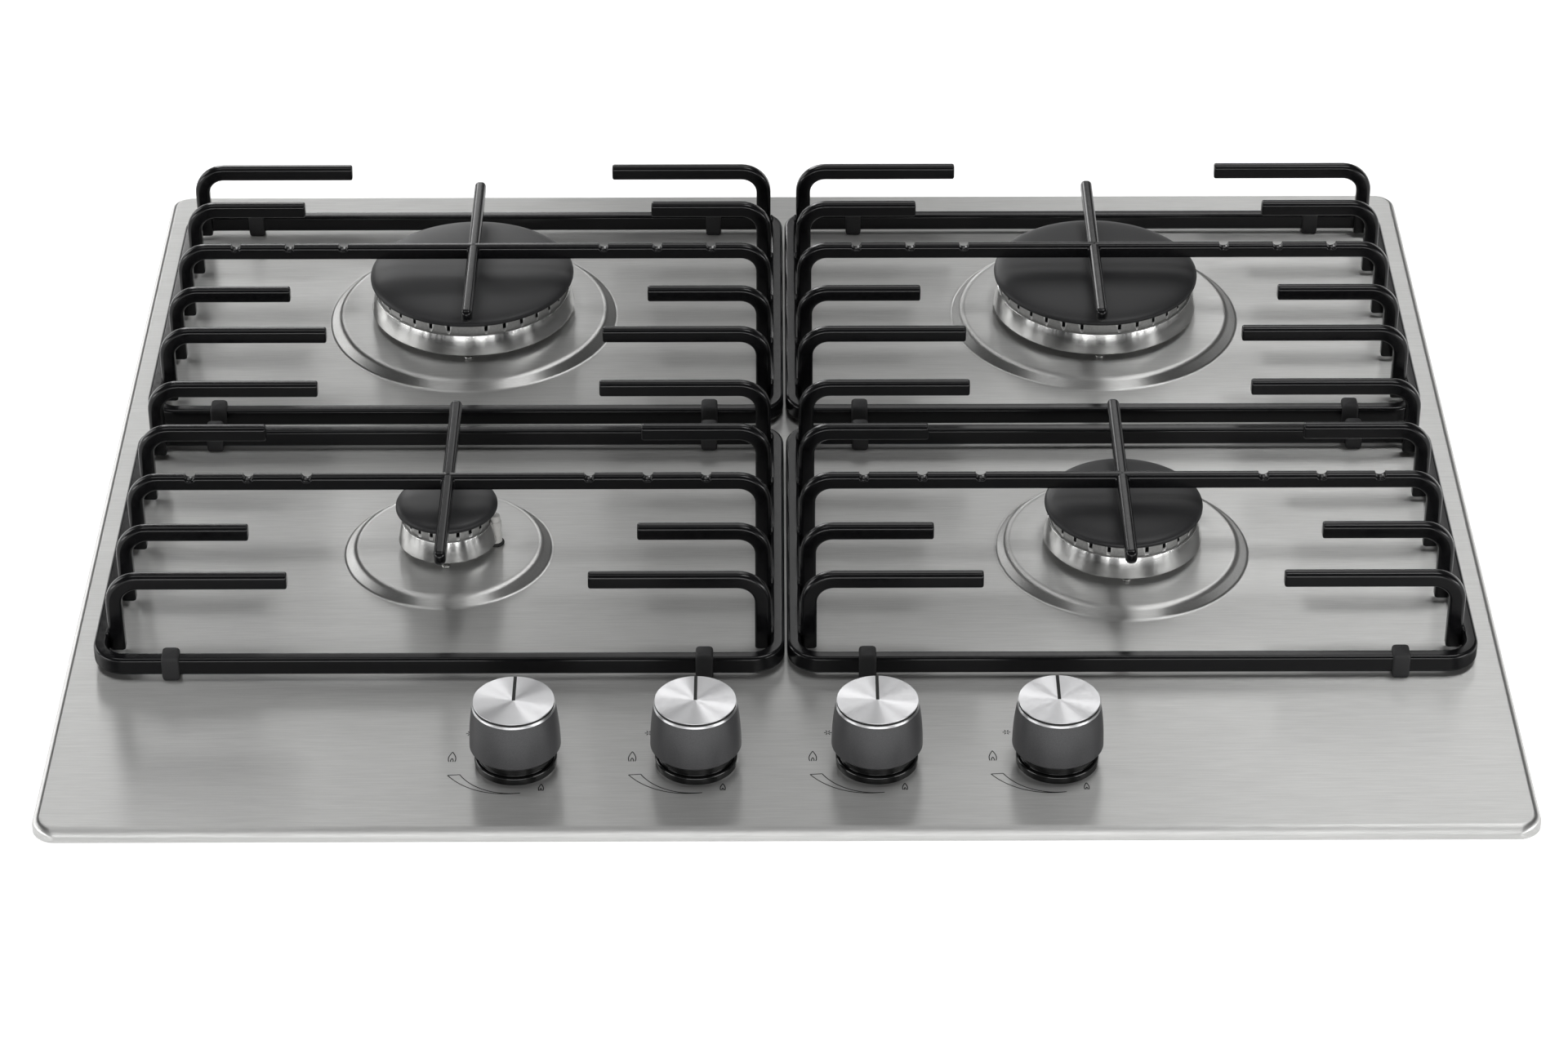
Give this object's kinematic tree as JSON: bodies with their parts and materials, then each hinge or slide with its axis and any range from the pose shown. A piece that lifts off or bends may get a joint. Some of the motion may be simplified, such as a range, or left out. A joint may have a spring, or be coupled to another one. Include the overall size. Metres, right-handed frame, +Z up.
{
  "type": "gas cooktop",
  "caption": "Built-in gas hob: brushed steel plate with raised burner seats, welded pan supports, capped burners, front knobs and a closed tray with taps, pipes and ignition below.",
  "frame": {"origin": "middle of the plate on the worktop plane, the underside of the foam seal", "axes": "+X to the right, +Y to the back, +Z up; the knobs are at the front, towards -Y"},
  "size_m": [0.6, 0.51, 0.1094],
  "materials": {
    "stainless": "brushed",
    "black_enamel": "gloss",
    "cap_enamel": "matt",
    "polished_ring": "polished",
    "cast_crown": "cast",
    "cast_cup": "cast",
    "black_rubber": "matt",
    "knob_grey": "satin",
    "knob_disc": "turned",
    "knob_black": "gloss",
    "brass": "plain",
    "zinc_steel": "plain",
    "white_ceramic": "satin",
    "seal_foam": "matt",
    "pipe_aluminium": "drawn",
    "switch_plastic": "plain",
    "lead_silicone": "matt"
  },
  "bodies": {
    "hob": {"top_plate": "stainless", "rim_seal": "seal_foam", "burner_box": "zinc_steel", "worktop_clamps": "zinc_steel", "injectors": "brass", "electrodes": "white_ceramic", "knob_bezels": "knob_black", "tap_bodies": "pipe_aluminium", "switch_strip": "switch_plastic", "supply_pipes": "pipe_aluminium", "pipe_nuts": "brass", "gas_rail": "zinc_steel", "inlet_elbow": "brass", "mains_gland": "knob_black", "ignition_module": "switch_plastic", "ignition_leads": "lead_silicone", "burner_cup_back_left": "cast_cup", "burner_skirt_back_left": "polished_ring", "burner_crown_back_left": "cast_crown", "burner_cup_back_right": "cast_cup", "burner_skirt_back_right": "polished_ring", "burner_crown_back_right": "cast_crown", "burner_cup_front_left": "cast_cup", "burner_skirt_front_left": "polished_ring", "burner_crown_front_left": "cast_crown", "burner_cup_front_right": "cast_cup", "burner_skirt_front_right": "polished_ring", "burner_crown_front_right": "cast_crown"},
    "pan_support_back_left": {"grate_back_left": "black_enamel", "grate_feet_back_left": "black_rubber"},
    "cap_back_left": {"burner_cap_back_left": "cap_enamel"},
    "pan_support_back_right": {"grate_back_right": "black_enamel", "grate_feet_back_right": "black_rubber"},
    "cap_back_right": {"burner_cap_back_right": "cap_enamel"},
    "pan_support_front_left": {"grate_front_left": "black_enamel", "grate_feet_front_left": "black_rubber"},
    "cap_front_left": {"burner_cap_front_left": "cap_enamel"},
    "pan_support_front_right": {"grate_front_right": "black_enamel", "grate_feet_front_right": "black_rubber"},
    "cap_front_right": {"burner_cap_front_right": "cap_enamel"},
    "tap_left": {"tap_plug_left": "brass"},
    "knob_left": {"knob_skirt_left": "knob_grey", "knob_disc_left": "knob_disc", "spindle_left": "zinc_steel", "tap_spring_left": "zinc_steel"},
    "tap_centre_left": {"tap_plug_centre_left": "brass"},
    "knob_centre_left": {"knob_skirt_centre_left": "knob_grey", "knob_disc_centre_left": "knob_disc", "spindle_centre_left": "zinc_steel", "tap_spring_centre_left": "zinc_steel"},
    "tap_centre_right": {"tap_plug_centre_right": "brass"},
    "knob_centre_right": {"knob_skirt_centre_right": "knob_grey", "knob_disc_centre_right": "knob_disc", "spindle_centre_right": "zinc_steel", "tap_spring_centre_right": "zinc_steel"},
    "tap_right": {"tap_plug_right": "brass"},
    "knob_right": {"knob_skirt_right": "knob_grey", "knob_disc_right": "knob_disc", "spindle_right": "zinc_steel", "tap_spring_right": "zinc_steel"}
  },
  "joints": [
    {"name": "pan_support_lift_back_left", "type": "slide", "parent": "hob", "child": "pan_support_back_left", "axis": [0, 0, 1], "range_m": [0, 0.15]},
    {"name": "cap_lift_back_left", "type": "slide", "parent": "hob", "child": "cap_back_left", "axis": [0, 0, 1], "range_m": [0, 0.0045]},
    {"name": "pan_support_lift_back_right", "type": "slide", "parent": "hob", "child": "pan_support_back_right", "axis": [0, 0, 1], "range_m": [0, 0.15]},
    {"name": "cap_lift_back_right", "type": "slide", "parent": "hob", "child": "cap_back_right", "axis": [0, 0, 1], "range_m": [0, 0.0045]},
    {"name": "pan_support_lift_front_left", "type": "slide", "parent": "hob", "child": "pan_support_front_left", "axis": [0, 0, 1], "range_m": [0, 0.15]},
    {"name": "cap_lift_front_left", "type": "slide", "parent": "hob", "child": "cap_front_left", "axis": [0, 0, 1], "range_m": [0, 0.0045]},
    {"name": "pan_support_lift_front_right", "type": "slide", "parent": "hob", "child": "pan_support_front_right", "axis": [0, 0, 1], "range_m": [0, 0.15]},
    {"name": "cap_lift_front_right", "type": "slide", "parent": "hob", "child": "cap_front_right", "axis": [0, 0, 1], "range_m": [0, 0.0045]},
    {"name": "tap_turn_left", "type": "hinge", "parent": "hob", "child": "tap_left", "pos_m": [-0.1093, -0.2089, -0.014], "axis": [0, 0, 1], "range_deg": [0, 211]},
    {"name": "knob_press_left", "type": "slide", "parent": "tap_left", "child": "knob_left", "axis": [0, 0, -1], "range_m": [0, 0.003], "stiffness_N_per_m": 1500, "springref_m": -0.0015, "deforming": ["tap_spring_left"]},
    {"name": "tap_turn_centre_left", "type": "hinge", "parent": "hob", "child": "tap_centre_left", "pos_m": [-0.0365, -0.2089, -0.014], "axis": [0, 0, 1], "range_deg": [0, 211]},
    {"name": "knob_press_centre_left", "type": "slide", "parent": "tap_centre_left", "child": "knob_centre_left", "axis": [0, 0, -1], "range_m": [0, 0.003], "stiffness_N_per_m": 1500, "springref_m": -0.0015, "deforming": ["tap_spring_centre_left"]},
    {"name": "tap_turn_centre_right", "type": "hinge", "parent": "hob", "child": "tap_centre_right", "pos_m": [0.0365, -0.2089, -0.014], "axis": [0, 0, 1], "range_deg": [0, 211]},
    {"name": "knob_press_centre_right", "type": "slide", "parent": "tap_centre_right", "child": "knob_centre_right", "axis": [0, 0, -1], "range_m": [0, 0.003], "stiffness_N_per_m": 1500, "springref_m": -0.0015, "deforming": ["tap_spring_centre_right"]},
    {"name": "tap_turn_right", "type": "hinge", "parent": "hob", "child": "tap_right", "pos_m": [0.1093, -0.2089, -0.014], "axis": [0, 0, 1], "range_deg": [0, 211]},
    {"name": "knob_press_right", "type": "slide", "parent": "tap_right", "child": "knob_right", "axis": [0, 0, -1], "range_m": [0, 0.003], "stiffness_N_per_m": 1500, "springref_m": -0.0015, "deforming": ["tap_spring_right"]}
  ]
}
